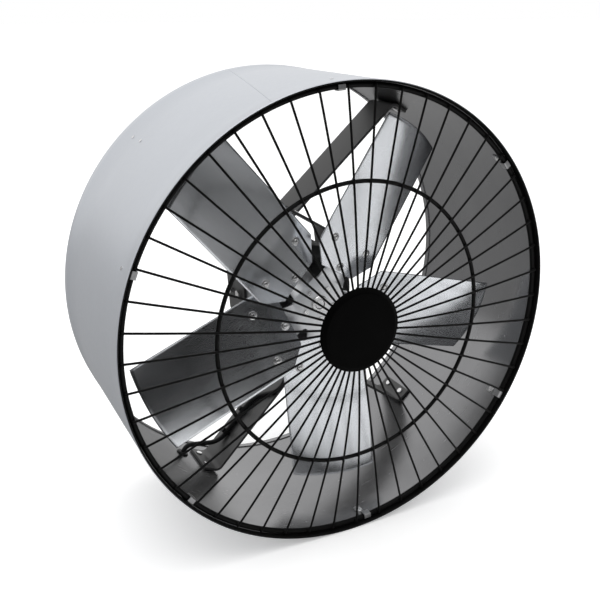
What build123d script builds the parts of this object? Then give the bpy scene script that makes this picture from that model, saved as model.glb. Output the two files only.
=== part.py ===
"""Round exhaust fan: sheet drum, five-blade rotor, motor hung on two crossed straps, wire guard.

The fan axis is Y. The guarded front looks along -Y, +Z is up, and the origin is on the axis half way
along the drum. A depth is the distance behind the front rim. Angles turn from +X towards +Z, as seen
from the front. Lengths are in millimetres.
"""
import math
import os

from build123d import *

os.makedirs("parts", exist_ok=True)

# Driving dimensions: housing
housing_radius = 250.0
housing_length = 228.0
sheet = 1.2
hem_depth = 8.0

# Driving dimensions: wire guard
wire_count = 50
wire_radius = 1.2
first_wire_angle = 6.2
wire_mid_depth = -4.3
wire_inner_depth = -8.6
wire_inner_radius = 30.0
ring_wire_radius = 3.0
mid_ring_radius = 153.0
mid_ring_wire_radius = 2.2
cap_radius = 46.0
cap_sheet = 1.5
cap_rise = 5.0
cap_bevel = 5.0
cap_screw_radius = 1.65
disc_sheet = 1.5
clip_angles = (39.0, 94.1, 158.9, 220.7, 276.2, 328.7)
clip_width = 8.0
clip_sheet = 0.9
clip_rivet_depth = 24.0
rivet_radius = 2.0

# Driving dimensions: rotor
blade_count = 5
first_blade_angle = 59.1
blade_half_width = 47.5
blade_sheet = 1.5
blade_pitch = 14.8
blade_depth = 77.0
blade_root = 40.4
root_half_width = 26.5
shoulder = 62.5
flat_end = 92.0
tip_radius = 221.0
tip_pitch = 18.3
tip_camber = 4.0
tip_advance = 3.0
tip_beyond = 6.0
arm_sheet = 3.0
arm_end = 84.0
slot_half_width = 3.5
slot_ends = (50.0, 76.0)
notch_tip_radius = 31.5
notch_radius = 42.0
notch_half_width = 10.0
inner_bolt_radial = 47.3
outer_bolt_radial = 73.8
outer_bolt_across = 29.5
blade_bolt_radius = 2.5
hub_radius = 10.0
hub_flange_radius = 23.0
hub_flange = 4.0
collar_radius = 14.0
collar_length = 15.0
hub_rivet_circle = 18.6
hub_rivet_radius = 1.6
set_screw_radius = 2.5

# Driving dimensions: motor
motor_radius = 60.0
hub_clearance = 4.0
motor_length = 112.0
motor_wall = 4.0
bell_length = 18.0
bell_bevel = 12.0
bell_inner_bevel = 14.0
bell_seat_wall = 4.0
shaft_clearance = 1.5
shaft_radius = 6.0
shoulder_radius = 8.5
bearing_outer = 14.0
bearing_width = 9.0
bearing_cover = 3.0
bore_radius = 32.0
air_gap = 0.5
end_turn = 9.0
tie_circle = 47.0
tie_radius = 2.2
tie_head = 3.0

# Driving dimensions: straps and motor lead
strap_thickness = 3.0
strap_width = 50.0
strap_behind_motor_front = 42.0
strap_bend = 8.0
tab_length = 20.0
tab_rivet_inset = 13.0
tab_rivet_spacing = 28.0
motor_bolt_spacing = 24.0
motor_bolt_radius = 3.0
straps = {
    "left": {"axis": 3.6, "spread": 53.6, "clear": 0.6},
    "right": {"axis": 187.75, "spread": 57.75, "clear": 17.0},
}
lead_radius = 3.0
lead_angle = 262.0
lead_exit_behind_front = 30.0
lead_behind_strap_front = 32.0
lead_meets_strap = 96.0
lead_leaves_strap = 24.0
tie_stations = (40.0, 74.0)
gland_angle = 236.4
gland_hole = 5.5
gland_lip = 2.0
gland_outer_lip = 0.6
lead_bend = 36.0
lead_strap_bend = 24.0
lead_gland_bend = 10.0
lead_inside = 4.0
tie_strap = 1.2
tie_width = 4.0

# Named clearances
touch = 0.05
loose = 0.3
running = 0.05
slot_gap = 0.4

# Derived dimensions
front_y = -housing_length / 2
wall_inner = housing_radius - sheet
hem_inner = wall_inner - sheet
ring_radius = hem_inner - loose - ring_wire_radius
ring_depth = hem_depth
wire_outer_depth = ring_depth - ring_wire_radius - wire_radius - touch
mid_ring_depth = wire_mid_depth + wire_radius + mid_ring_wire_radius + touch
cap_back = wire_inner_depth - wire_radius - touch
cap_top = cap_back - cap_rise
disc_front = wire_inner_depth + wire_radius + 0.65
disc_back = disc_front + disc_sheet
half_step = 180.0 / blade_count
blade_step = 2 * half_step
pitch_cos = math.cos(math.radians(blade_pitch))
blade_half = blade_half_width / pitch_cos
spider_depth = blade_depth + ((blade_sheet + arm_sheet) / 2 + touch) / pitch_cos
spider_front = spider_depth - arm_sheet / 2
spider_back = spider_depth + arm_sheet / 2
flange_front = spider_back + touch
flange_back = flange_front + hub_flange
set_screw_depth = flange_back + collar_length / 2
set_screw_angle = first_blade_angle + 90
motor_front_depth = flange_back + collar_length + hub_clearance
motor_rear_depth = motor_front_depth + motor_length
shell_front = motor_front_depth + bell_length
shell_rear = motor_rear_depth - bell_length
core_front = shell_front + end_turn + 3
core_rear = shell_rear - end_turn - 3
front_bearing_depth = motor_front_depth + bearing_cover
rear_bearing_depth = motor_rear_depth - bearing_cover - bearing_width
strap_front_depth = motor_front_depth + strap_behind_motor_front
lead_exit_depth = motor_front_depth + lead_exit_behind_front
lead_depth = strap_front_depth + lead_behind_strap_front
strap_mid_depth = strap_front_depth + strap_width / 2
strap_rear_depth = strap_front_depth + strap_width
strap_offset = motor_radius + touch + strap_thickness / 2
tab_radius = math.sqrt((wall_inner - loose) ** 2 - tab_length**2) - strap_thickness / 2
tab_rivet_depths = (strap_mid_depth - tab_rivet_spacing / 2, strap_mid_depth + tab_rivet_spacing / 2)
motor_bolt_depths = (strap_mid_depth - motor_bolt_spacing / 2, strap_mid_depth + motor_bolt_spacing / 2)
tie_half_depth = lead_radius + loose + tie_strap / 2


# Frames and small helpers
def y_at(depth):
    """Y of a plane this far behind the front rim."""
    return front_y + depth


def on_circle(radius, angle):
    """Two coordinates of a point at this radius and angle about the fan axis."""
    return radius * math.cos(math.radians(angle)), radius * math.sin(math.radians(angle))


def face_plane(depth):
    """Plane square to the fan axis, looked at from the front, where local z points forwards."""
    return Plane(origin=(0, y_at(depth), 0), x_dir=(1, 0, 0), z_dir=(0, -1, 0))


def side_plane(angle):
    """Plane that holds the fan axis: local x points outwards at the angle, local y to the rear."""
    x, z = on_circle(1.0, angle)
    return Plane(origin=(0, front_y, 0), x_dir=(x, 0, z), z_dir=(-z, 0, x))


def wall_plane(radius, angle, depth):
    """Plane that touches a cylinder: local z points outwards, local y to the front."""
    x, z = on_circle(1.0, angle)
    return Plane(origin=(radius * x, y_at(depth), radius * z), x_dir=(-z, 0, x), z_dir=(x, 0, z))


def blade_frame(angle, pitch, depth):
    """Plane of a pitched sheet: local x outwards along the blade, y across it, z to the front."""
    x, z = on_circle(1.0, angle)
    tilt = math.radians(pitch)
    outward = Vector(x, 0, z)
    across = Vector(-z * math.cos(tilt), -math.sin(tilt), x * math.cos(tilt))
    return Plane(origin=(0, y_at(depth), 0), x_dir=outward, z_dir=outward.cross(across))


def section_plane(angle, pitch, radial, depth):
    """Plane square to a blade's length at this distance out: local x runs across the blade."""
    frame = blade_frame(angle, pitch, depth)
    return Plane(origin=frame.origin + frame.x_dir * radial, x_dir=frame.y_dir, z_dir=frame.x_dir)


def turned(point, angle):
    """A point of the face plane turned about the fan axis."""
    cosine, sine = on_circle(1.0, angle)
    return point[0] * cosine - point[1] * sine, point[0] * sine + point[1] * cosine


def save(part, name):
    part.label = name
    export_step(part, "parts/" + name + ".step")


# Support strap layout
def strap_corners(name):
    """Middle line of one strap: tab, leg, the flat on the motor, leg, tab.

    A leg passes the motor at the strap's named clearance and ends in a tab square to the wall.
    """
    data = straps[name]
    lean = math.degrees(math.asin((strap_offset + data["clear"]) / tab_radius))
    heading = data["spread"] + 180 - lean
    corner = on_circle(tab_radius, data["spread"])
    step = on_circle(1.0, heading)
    run = (-strap_offset - corner[0]) / step[0]
    flat = (-strap_offset, corner[1] + run * step[1])
    along = on_circle(tab_length, data["spread"] - 90)
    end = (corner[0] + along[0], corner[1] + along[1])
    upper = [end, corner, flat]
    lower = [(u, -v) for u, v in reversed(upper)]
    return [turned(point, data["axis"]) for point in upper + lower]


def tab_rivet_angles():
    """Angles of the rivets in the four tabs."""
    inset = math.degrees(math.atan(tab_rivet_inset / tab_radius))
    angles = []
    for data in straps.values():
        angles.append(data["axis"] + data["spread"] - inset)
        angles.append(data["axis"] - data["spread"] + inset)
    return angles


tab_angles = tab_rivet_angles()


# Housing
def housing_shell():
    """Rolled drum with both edges folded inwards as hems, drilled for its rivets and its gland."""
    with BuildPart() as shell:
        with BuildSketch(side_plane(0)):
            with BuildLine():
                Polyline(
                    (housing_radius, 0),
                    (housing_radius, housing_length),
                    (hem_inner, housing_length),
                    (hem_inner, housing_length - hem_depth),
                    (wall_inner, housing_length - hem_depth),
                    (wall_inner, hem_depth),
                    (hem_inner, hem_depth),
                    (hem_inner, 0),
                    close=True,
                )
            make_face()
        revolve(axis=Axis.Y)
        for angle in clip_angles:
            with Locations(wall_plane(housing_radius, angle, clip_rivet_depth)):
                Hole(rivet_radius + touch, depth=2 * hem_depth)
        for angle in tab_angles:
            for depth in tab_rivet_depths:
                with Locations(wall_plane(housing_radius, angle, depth)):
                    Hole(rivet_radius + touch, depth=2 * hem_depth)
        with Locations(wall_plane(housing_radius, gland_angle, lead_depth)):
            Hole(gland_hole, depth=2 * hem_depth)
    save(shell.part, "housing_shell")


# Wire guard
def guard_ring(name, radius, wire, depth):
    """One wire ring of the guard."""
    with BuildPart() as ring:
        with BuildSketch(side_plane(0)):
            with Locations((radius, depth)):
                Circle(wire)
        revolve(axis=Axis.Y)
    save(ring.part, name)


def guard_spokes():
    """Radial wires, each bowed forwards, from the outer ring to under the cap."""
    with BuildPart() as spokes:
        for number in range(wire_count):
            plane = side_plane(first_wire_angle + number * 360.0 / wire_count)
            with BuildLine(plane) as path:
                ThreePointArc(
                    (ring_radius, wire_outer_depth),
                    (mid_ring_radius, wire_mid_depth),
                    (wire_inner_radius, wire_inner_depth),
                )
            with BuildSketch(Plane(origin=path.line @ 0, z_dir=path.line % 0)):
                Circle(wire_radius)
            sweep(path=path.line)
    save(spokes.part, "guard_spokes")


def guard_cap():
    """Dished round cap over the wire ends, with a blind boss behind for its screw."""
    boss_radius = 4 * cap_screw_radius
    bevel_rise = 0.65 * cap_rise
    with BuildPart() as cap:
        with BuildSketch(side_plane(0)):
            with BuildLine():
                Polyline(
                    (0, cap_top),
                    (cap_radius - cap_bevel, cap_top),
                    (cap_radius, cap_top + bevel_rise),
                    (cap_radius, cap_back),
                    (cap_radius - cap_sheet, cap_back),
                    (cap_radius - cap_sheet, cap_top + bevel_rise + cap_sheet / 2),
                    (cap_radius - cap_bevel - cap_sheet / 2, cap_top + cap_sheet),
                    (boss_radius, cap_top + cap_sheet),
                    (boss_radius, disc_front - touch),
                    (0, disc_front - touch),
                    close=True,
                )
            make_face()
        revolve(axis=Axis.Y)
        fillet(cap.edges().filter_by(GeomType.CIRCLE).sort_by(Axis.Y)[0], cap_sheet / 2)
        with Locations(Plane(origin=(0, y_at(disc_front), 0), z_dir=(0, 1, 0))):
            Hole(cap_screw_radius + touch, depth=disc_front - cap_top - 2 * cap_sheet)
    save(cap.part, "guard_cap")


def guard_disc():
    """Round plate behind the wires that clamps them under the cap."""
    with BuildPart() as disc:
        with BuildSketch(face_plane(disc_back)):
            Circle(cap_radius - 4)
            Circle(cap_screw_radius + loose, mode=Mode.SUBTRACT)
        extrude(amount=disc_sheet)
        chamfer(disc.faces().sort_by(Axis.Y)[-1].outer_wire().edges(), disc_sheet / 3)
    save(disc.part, "guard_disc")


def cap_screw():
    """Pan head screw that draws the plate against the cap from behind."""
    head_radius = 4.0
    head_height = 2.4
    length = disc_back - cap_top - 3 * cap_sheet
    with BuildPart() as screw:
        with BuildSketch(face_plane(disc_back + touch + head_height)):
            Circle(head_radius)
        extrude(amount=head_height)
        fillet(screw.edges().filter_by(GeomType.CIRCLE).sort_by(Axis.Y)[-1], head_height / 2)
        with BuildSketch(face_plane(disc_back + touch)):
            Circle(cap_screw_radius)
        extrude(amount=length)
        with BuildSketch(face_plane(disc_back + touch + head_height)):
            Rectangle(1.1 * head_radius, 0.25 * head_radius)
            Rectangle(0.25 * head_radius, 1.1 * head_radius)
        extrude(amount=head_height / 2, mode=Mode.SUBTRACT)
    save(screw.part, "cap_screw")


def guard_clips():
    """Folded strips that hook round the outer ring from behind and are riveted to the wall."""
    wall_leg = wall_inner - loose - clip_sheet / 2
    inner_leg = ring_radius - ring_wire_radius - loose - clip_sheet / 2
    back = ring_depth + ring_wire_radius + loose + clip_sheet / 2
    front = ring_depth - ring_wire_radius - loose - clip_sheet / 2
    with BuildPart() as clips:
        for angle in clip_angles:
            with BuildSketch(side_plane(angle)):
                with BuildLine():
                    FilletPolyline(
                        (wall_leg, clip_rivet_depth + clip_width),
                        (wall_leg, back + 2 * clip_sheet),
                        (inner_leg, back),
                        (inner_leg, front),
                        (ring_radius + ring_wire_radius / 2, front),
                        radius=1.2 * clip_sheet,
                    )
                trace(line_width=clip_sheet)
            extrude(amount=clip_width / 2, both=True)
            with Locations(wall_plane(housing_radius, angle, clip_rivet_depth)):
                Hole(rivet_radius + touch, depth=2 * hem_depth)
    save(clips.part, "guard_clips")


def rivet(angle, depth, seat):
    """Rivet with a round head inside the wall, whose shank ends level with the outside."""
    head_height = 0.7 * rivet_radius
    with BuildPart() as piece:
        with BuildSketch(wall_plane(seat - touch, angle, depth)):
            Circle(rivet_radius)
        extrude(amount=housing_radius - seat)
        with BuildSketch(wall_plane(seat - touch, angle, depth)):
            Circle(1.9 * rivet_radius)
        extrude(amount=-head_height)
        rims = piece.edges().filter_by(GeomType.CIRCLE).group_by(SortBy.RADIUS)[-1]
        inner_rim = rims.sort_by(lambda edge: math.hypot(edge.center().X, edge.center().Z))[0]
        fillet(inner_rim, 0.6 * head_height)
    return piece.part


def clip_rivets():
    with BuildPart() as rivets:
        for angle in clip_angles:
            add(rivet(angle, clip_rivet_depth, wall_inner - loose - clip_sheet))
    save(rivets.part, "clip_rivets")


def strap_rivets():
    seat = math.hypot(tab_radius - strap_thickness / 2, tab_rivet_inset) - loose
    with BuildPart() as rivets:
        for angle in tab_angles:
            for depth in tab_rivet_depths:
                add(rivet(angle, depth, seat))
    save(rivets.part, "strap_rivets")


# Motor support straps
def strap_solid(name, front_depth, rear_depth, thickness):
    """One strap's bent middle line, given a thickness and run between two depths."""
    with BuildPart() as solid:
        with BuildSketch(face_plane(rear_depth)):
            with BuildLine():
                FilletPolyline(*strap_corners(name), radius=strap_bend)
            trace(line_width=thickness)
        extrude(amount=rear_depth - front_depth)
    return solid.part


def support_strap(name, other, slot_depths):
    """One strap, slotted half its width where it crosses the other, and drilled."""
    with BuildPart() as strap:
        add(strap_solid(name, strap_front_depth, strap_rear_depth, strap_thickness))
        add(strap_solid(other, *slot_depths, strap_thickness + 2 * slot_gap), mode=Mode.SUBTRACT)
        for depth in motor_bolt_depths:
            with Locations(wall_plane(motor_radius, straps[name]["axis"] + 180, depth)):
                Hole(motor_bolt_radius + touch, depth=4 * strap_thickness)
        for angle in tab_angles:
            for depth in tab_rivet_depths:
                with Locations(wall_plane(housing_radius, angle, depth)):
                    Hole(rivet_radius + touch, depth=2 * hem_depth)
        if name == "right":
            for station in tie_stations:
                with BuildSketch(leg_plane(station, 0)):
                    with Locations((0, tie_half_depth), (0, -tie_half_depth)):
                        Rectangle(tie_width + slot_gap, tie_strap + slot_gap)
                extrude(amount=strap_thickness, both=True, mode=Mode.SUBTRACT)
    save(strap.part, "support_strap_" + name)


def strap_bolts():
    """Hex head screws that hold both straps to the motor body."""
    seat = strap_offset + strap_thickness / 2 + touch
    with BuildPart() as bolts:
        for data in straps.values():
            for depth in motor_bolt_depths:
                with BuildSketch(wall_plane(seat, data["axis"] + 180, depth)):
                    RegularPolygon(radius=1.85 * motor_bolt_radius, side_count=6)
                extrude(amount=1.3 * motor_bolt_radius)
                with BuildSketch(wall_plane(seat, data["axis"] + 180, depth)):
                    Circle(motor_bolt_radius)
                extrude(amount=-(strap_thickness + motor_wall))
    save(bolts.part, "strap_bolts")


# Motor lead: out of the motor, past the left strap, down the right strap's lower leg, out of the wall
def leg_line():
    """Wall corner, inward heading and motor-side normal of the lower leg of the right strap."""
    end, corner, flat = strap_corners("right")[:3]
    heading = math.degrees(math.atan2(flat[1] - corner[1], flat[0] - corner[0]))
    return corner, on_circle(1.0, heading), on_circle(1.0, heading + 90)


def leg_point(station, lift):
    """Point on the leg this far in from its wall corner, lifted off its middle line."""
    corner, along, normal = leg_line()
    return (
        corner[0] + station * along[0] + lift * normal[0],
        corner[1] + station * along[1] + lift * normal[1],
    )


def leg_plane(station, lift):
    """Plane flat on the leg: local x along it towards the motor, local z towards the fan axis."""
    corner, along, normal = leg_line()
    x, z = leg_point(station, lift)
    return Plane(
        origin=(x, y_at(lead_depth), z),
        x_dir=(along[0], 0, along[1]),
        z_dir=(normal[0], 0, normal[1]),
    )


lead_lift = strap_thickness / 2 + loose + lead_radius


def lead_points():
    """Corners of the lead's route: it leaves the motor in front of the straps and slopes back."""
    start, along = leg_point(0, lead_lift), leg_line()[1]
    ray = on_circle(1.0, lead_angle)
    reach = (start[0] * along[1] - start[1] * along[0]) / (ray[0] * along[1] - ray[1] * along[0])
    route = [
        (on_circle(motor_radius - lead_inside, lead_angle), lead_exit_depth),
        (on_circle(reach, lead_angle), lead_exit_depth),
        (leg_point(lead_meets_strap, lead_lift), lead_depth),
        (leg_point(lead_leaves_strap, lead_lift), lead_depth),
        (on_circle(wall_inner - 4 * lead_radius, gland_angle), lead_depth),
        (on_circle(housing_radius + gland_outer_lip, gland_angle), lead_depth),
    ]
    return [(x, y_at(depth), z) for (x, z), depth in route]


def motor_lead():
    """Round cable on its real route, in straight runs joined by tangent arcs."""
    with BuildPart() as lead:
        with BuildLine() as path:
            FilletPolyline(*lead_points(), radius=[lead_bend, lead_bend, lead_strap_bend, lead_gland_bend])
        with BuildSketch(Plane(origin=path.line @ 0, z_dir=path.line % 0)):
            Circle(lead_radius)
        sweep(path=path.line)
    save(lead.part, "motor_lead")


def cable_ties():
    """Two tie bands that go through the leg's slots and round the lead, each with its head."""
    low = -strap_thickness / 2 - loose - tie_strap
    high = lead_lift + lead_radius + loose + tie_strap
    outer_width = 2 * (tie_half_depth + tie_strap / 2)
    with BuildPart() as ties:
        for station in tie_stations:
            flat = leg_plane(station, (low + high) / 2)
            ring_plane = Plane(origin=flat.origin, x_dir=flat.y_dir, z_dir=flat.x_dir)
            with BuildSketch(ring_plane):
                RectangleRounded(outer_width, high - low, tie_strap)
                Rectangle(outer_width - 2 * tie_strap, high - low - 2 * tie_strap, mode=Mode.SUBTRACT)
            extrude(amount=tie_width / 2, both=True)
            with BuildSketch(leg_plane(station, high - tie_strap / 2)):
                Rectangle(tie_width + 2, outer_width / 2)
            extrude(amount=3 * tie_strap)
    save(ties.part, "cable_ties")


def cable_grommet():
    """Rubber grommet that lines the wall hole and grips the lead."""
    groove = gland_hole - touch
    half = sheet / 2 + loose
    middle = housing_radius - sheet / 2
    plane = wall_plane(middle, gland_angle, lead_depth)
    section = Plane(origin=plane.origin, x_dir=plane.x_dir, z_dir=-plane.y_dir)
    with BuildPart() as grommet:
        with BuildSketch(section):
            with BuildLine():
                Polyline(
                    (lead_radius + touch, half + gland_outer_lip),
                    (groove + gland_lip - gland_outer_lip / 2, half + gland_outer_lip),
                    (groove + gland_lip, half + gland_outer_lip / 2),
                    (groove + gland_lip, half),
                    (groove, half),
                    (groove, -half),
                    (groove + gland_lip, -half),
                    (groove + gland_lip, -half - gland_lip + 1),
                    (groove + gland_lip - 1, -half - gland_lip),
                    (lead_radius + touch, -half - gland_lip),
                    close=True,
                )
            make_face()
        revolve(axis=Axis(plane.origin, plane.z_dir))
    save(grommet.part, "cable_grommet")


# Motor
def tie_holes(radius):
    """Four holes for the long screws, straight through the motor."""
    with Locations(face_plane(motor_front_depth)):
        with PolarLocations(tie_circle, 4, start_angle=45):
            Hole(radius, depth=2 * motor_length)


def motor_bell(name, outer_depth, inner_depth):
    """Cup-shaped end cover with the bearing seat in its middle and four screw holes."""
    way = 1 if inner_depth > outer_depth else -1
    lip = inner_depth - way * touch
    shaft_hole = shaft_radius + shaft_clearance
    seat_wall = bearing_outer + bell_seat_wall
    seat_end = outer_depth + way * (bearing_cover + bearing_width)
    with BuildPart() as bell:
        with BuildSketch(side_plane(0)):
            with BuildLine():
                Polyline(
                    (shaft_hole, outer_depth),
                    (motor_radius - bell_bevel, outer_depth),
                    (motor_radius, outer_depth + way * bell_length / 2),
                    (motor_radius, lip),
                    (motor_radius - motor_wall, lip),
                    (motor_radius - motor_wall, outer_depth + way * (bell_length + motor_wall) / 2),
                    (motor_radius - bell_inner_bevel, outer_depth + way * motor_wall),
                    (seat_wall, outer_depth + way * motor_wall),
                    (seat_wall, seat_end),
                    (bearing_outer, seat_end),
                    (bearing_outer, outer_depth + way * bearing_cover),
                    (shaft_hole, outer_depth + way * bearing_cover),
                    close=True,
                )
            make_face()
        revolve(axis=Axis.Y)
        tie_holes(tie_radius + touch)
    save(bell.part, name)


def side_holes(bolt_hole, lead_hole, depth):
    """Holes in from the motor's side for the strap screws and the lead."""
    for data in straps.values():
        for bolt_depth in motor_bolt_depths:
            with Locations(wall_plane(motor_radius, data["axis"] + 180, bolt_depth)):
                Hole(bolt_hole, depth=depth)
    with Locations(wall_plane(motor_radius, lead_angle, lead_exit_depth)):
        Hole(lead_hole, depth=depth)


def motor_shell():
    """Tube body of the motor, tapped for the straps and pierced for the lead."""
    with BuildPart() as body:
        with BuildSketch(face_plane(shell_rear)):
            Circle(motor_radius)
            Circle(motor_radius - motor_wall, mode=Mode.SUBTRACT)
        extrude(amount=shell_rear - shell_front)
        side_holes(motor_bolt_radius + touch, lead_radius + touch, 3 * motor_wall)
    save(body.part, "motor_shell")


def stator_core():
    """Laminated ring inside the motor body, with open slots round its bore."""
    with BuildPart() as core:
        with BuildSketch(face_plane(core_rear)):
            Circle(motor_radius - motor_wall - touch)
            Circle(bore_radius, mode=Mode.SUBTRACT)
            with PolarLocations(bore_radius, 12, start_angle=15):
                Rectangle(9, 3, mode=Mode.SUBTRACT)
        extrude(amount=core_rear - core_front)
        tie_holes(tie_radius + loose)
        side_holes(motor_bolt_radius + loose, lead_radius + loose, 3 * motor_wall)
    save(core.part, "stator_core")


def stator_windings():
    """Two rounded end turns, one at each end of the laminated ring."""
    offset = end_turn / 2 + touch
    with BuildPart() as windings:
        for depth in (core_front - offset, core_rear + offset):
            with BuildSketch(side_plane(0)):
                with Locations((bore_radius + end_turn / 2 + 2, depth)):
                    RectangleRounded(end_turn, end_turn, 0.28 * end_turn)
            revolve(axis=Axis.Y)
    save(windings.part, "stator_windings")


def motor_tie_screws():
    """Four long screws, with a head in front and a nut behind, that clamp the end covers."""
    with BuildPart() as screws:
        with BuildSketch(face_plane(motor_rear_depth + touch)):
            with PolarLocations(tie_circle, 4, start_angle=45):
                Circle(tie_radius)
        extrude(amount=motor_length + 2 * touch)
        for depth in (motor_front_depth - touch, motor_rear_depth + touch + tie_head):
            with BuildSketch(face_plane(depth)):
                with PolarLocations(tie_circle, 4, start_angle=45):
                    RegularPolygon(radius=2 * tie_radius, side_count=6)
            extrude(amount=tie_head)
    save(screws.part, "motor_tie_screws")


def bearing(name, depth):
    """Ball bearing: a ring seated in an end cover, with its bore running on the shaft."""
    with BuildPart() as ring:
        with BuildSketch(face_plane(depth + bearing_width - touch)):
            Circle(bearing_outer - touch)
            Circle(shaft_radius + running, mode=Mode.SUBTRACT)
        extrude(amount=bearing_width - 2 * touch)
        chamfer(ring.edges().filter_by(GeomType.CIRCLE).group_by(SortBy.RADIUS)[-1], 0.6)
    save(ring.part, name)


# Rotor
def motor_shaft():
    """Turned shaft: a plain hub end, and a shoulder between the bearings for the rotor core."""
    front = spider_front - 1
    rear = rear_bearing_depth + bearing_width
    with BuildPart() as shaft:
        with BuildSketch(face_plane(rear)):
            Circle(shaft_radius)
        extrude(amount=rear - front)
        with BuildSketch(face_plane(rear_bearing_depth - loose)):
            Circle(shoulder_radius)
        extrude(amount=rear_bearing_depth - front_bearing_depth - bearing_width - 2 * loose)
        chamfer(shaft.edges().filter_by(GeomType.CIRCLE).sort_by(Axis.Y)[0], 1.0)
    save(shaft.part, "motor_shaft")


def rotor_core():
    """Laminated rotor on the shaft's shoulder, with a cast ring at each end."""
    ring = 5.0
    with BuildPart() as core:
        with BuildSketch(face_plane(core_rear)):
            Circle(bore_radius - air_gap)
        extrude(amount=core_rear - core_front)
        for depth in (core_front, core_rear + ring):
            with BuildSketch(face_plane(depth)):
                Circle(bore_radius - 3)
            extrude(amount=ring)
        with Locations(face_plane(core_front - ring)):
            Hole(shoulder_radius + 0.02, depth=2 * motor_length)
    save(core.part, "rotor_core")


def hub_rivet_holes():
    with Locations(face_plane(spider_front)):
        with PolarLocations(hub_rivet_circle, blade_count, start_angle=first_blade_angle):
            Hole(hub_rivet_radius + touch, depth=4 * hub_flange)


def hub_boss():
    """Turned hub: a nose through the spider, a flange behind it, and a collar for the set screw."""
    bore = shaft_radius + 0.02
    nose_front = spider_front - 2
    with BuildPart() as boss:
        with BuildSketch(side_plane(0)):
            with BuildLine():
                Polyline(
                    (bore, nose_front),
                    (hub_radius - 1, nose_front),
                    (hub_radius, nose_front + 1),
                    (hub_radius, flange_front),
                    (hub_flange_radius, flange_front),
                    (hub_flange_radius, flange_back),
                    (collar_radius, flange_back),
                    (collar_radius, flange_back + collar_length),
                    (bore, flange_back + collar_length),
                    close=True,
                )
            make_face()
        revolve(axis=Axis.Y)
        with Locations(wall_plane(collar_radius, set_screw_angle, set_screw_depth)):
            Hole(set_screw_radius + touch, depth=collar_radius)
        hub_rivet_holes()
    save(boss.part, "hub_boss")


def set_screw():
    """Socket set screw in the collar, bearing on the shaft."""
    with BuildPart() as screw:
        with BuildSketch(wall_plane(shaft_radius + touch, set_screw_angle, set_screw_depth)):
            Circle(set_screw_radius)
        extrude(amount=collar_radius - shaft_radius)
        with BuildSketch(wall_plane(collar_radius + touch, set_screw_angle, set_screw_depth)):
            RegularPolygon(radius=0.55 * set_screw_radius, side_count=6)
        extrude(amount=-2.0, mode=Mode.SUBTRACT)
    save(screw.part, "set_screw")


def hub_rivets():
    """Rivets that join the spider to the hub flange, one on each arm's line."""
    head = 1.0
    front = spider_front - touch
    back = flange_back + touch
    with BuildPart() as rivets:
        with BuildSketch(face_plane(back)):
            with PolarLocations(hub_rivet_circle, blade_count, start_angle=first_blade_angle):
                Circle(hub_rivet_radius)
        extrude(amount=back - front)
        for depth in (front, back + head):
            with BuildSketch(face_plane(depth)):
                with PolarLocations(hub_rivet_circle, blade_count, start_angle=first_blade_angle):
                    Circle(1.75 * hub_rivet_radius)
            extrude(amount=head)
    save(rivets.part, "hub_rivets")


def arm_edge(radius, inset, pitch):
    """Point beside the line half way to the next arm, drawn in the arm's own pitched plane."""
    line, normal = on_circle(1.0, half_step), on_circle(1.0, half_step - 90)
    radial = radius * line[0] + inset * normal[0]
    across = radius * line[1] + inset * normal[1]
    return radial, across / math.cos(math.radians(pitch))


blade_bolt_points = (
    (inner_bolt_radial, 0.0),
    (outer_bolt_radial, -outer_bolt_across),
    (outer_bolt_radial, outer_bolt_across),
)


def blade_bolt_holes(angle):
    """Holes square to the blade sheet, through it and the arm behind."""
    with Locations(blade_frame(angle, blade_pitch, blade_depth).offset(blade_sheet)):
        with Locations(*blade_bolt_points):
            Hole(blade_bolt_radius + touch, depth=3 * (blade_sheet + arm_sheet))


def hub_spider():
    """Pressed spider: a flat middle, and five arms that twist at the neck to the blade pitch.

    The arms are parted by narrow slots that widen into notches beside the necks.
    """
    tip = arm_edge(notch_tip_radius, 0, 0)
    neck_in = (tip[0] + 3.5, tip[1] - 1.5)
    neck_out = arm_edge(notch_radius, notch_half_width, blade_pitch)
    slot_in = arm_edge(slot_ends[0], slot_half_width, blade_pitch)
    slot_out = arm_edge(slot_ends[1], slot_half_width, blade_pitch)
    arm_half = [neck_out, slot_in, slot_out, (arm_end - 5, slot_out[1]), (arm_end, slot_out[1] - 5)]
    arm_outline = arm_half + [(u, -v) for u, v in reversed(arm_half)]
    middle_outline = []
    for number in range(blade_count):
        turn = first_blade_angle + number * blade_step
        for point in ((neck_in[0], -neck_in[1]), neck_in, tip):
            middle_outline.append(turned(point, turn))
    with BuildPart() as spider:
        with BuildSketch(face_plane(spider_back)):
            with BuildLine():
                Polyline(*middle_outline, close=True)
            make_face()
        extrude(amount=arm_sheet)
        for number in range(blade_count):
            angle = first_blade_angle + number * blade_step
            with BuildSketch(section_plane(angle, 0, neck_in[0], spider_depth)):
                Rectangle(2 * neck_in[1], arm_sheet)
            with BuildSketch(section_plane(angle, blade_pitch, neck_out[0], spider_depth)):
                Rectangle(2 * neck_out[1], arm_sheet)
            loft(ruled=True)
            with BuildSketch(blade_frame(angle, blade_pitch, spider_depth)):
                with BuildLine():
                    Polyline(*arm_outline, close=True)
                make_face()
            extrude(amount=arm_sheet / 2, both=True)
            blade_bolt_holes(angle)
        with Locations(face_plane(spider_front)):
            Hole(hub_radius + touch, depth=2 * arm_sheet)
        hub_rivet_holes()
    save(spider.part, "hub_spider")


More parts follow.
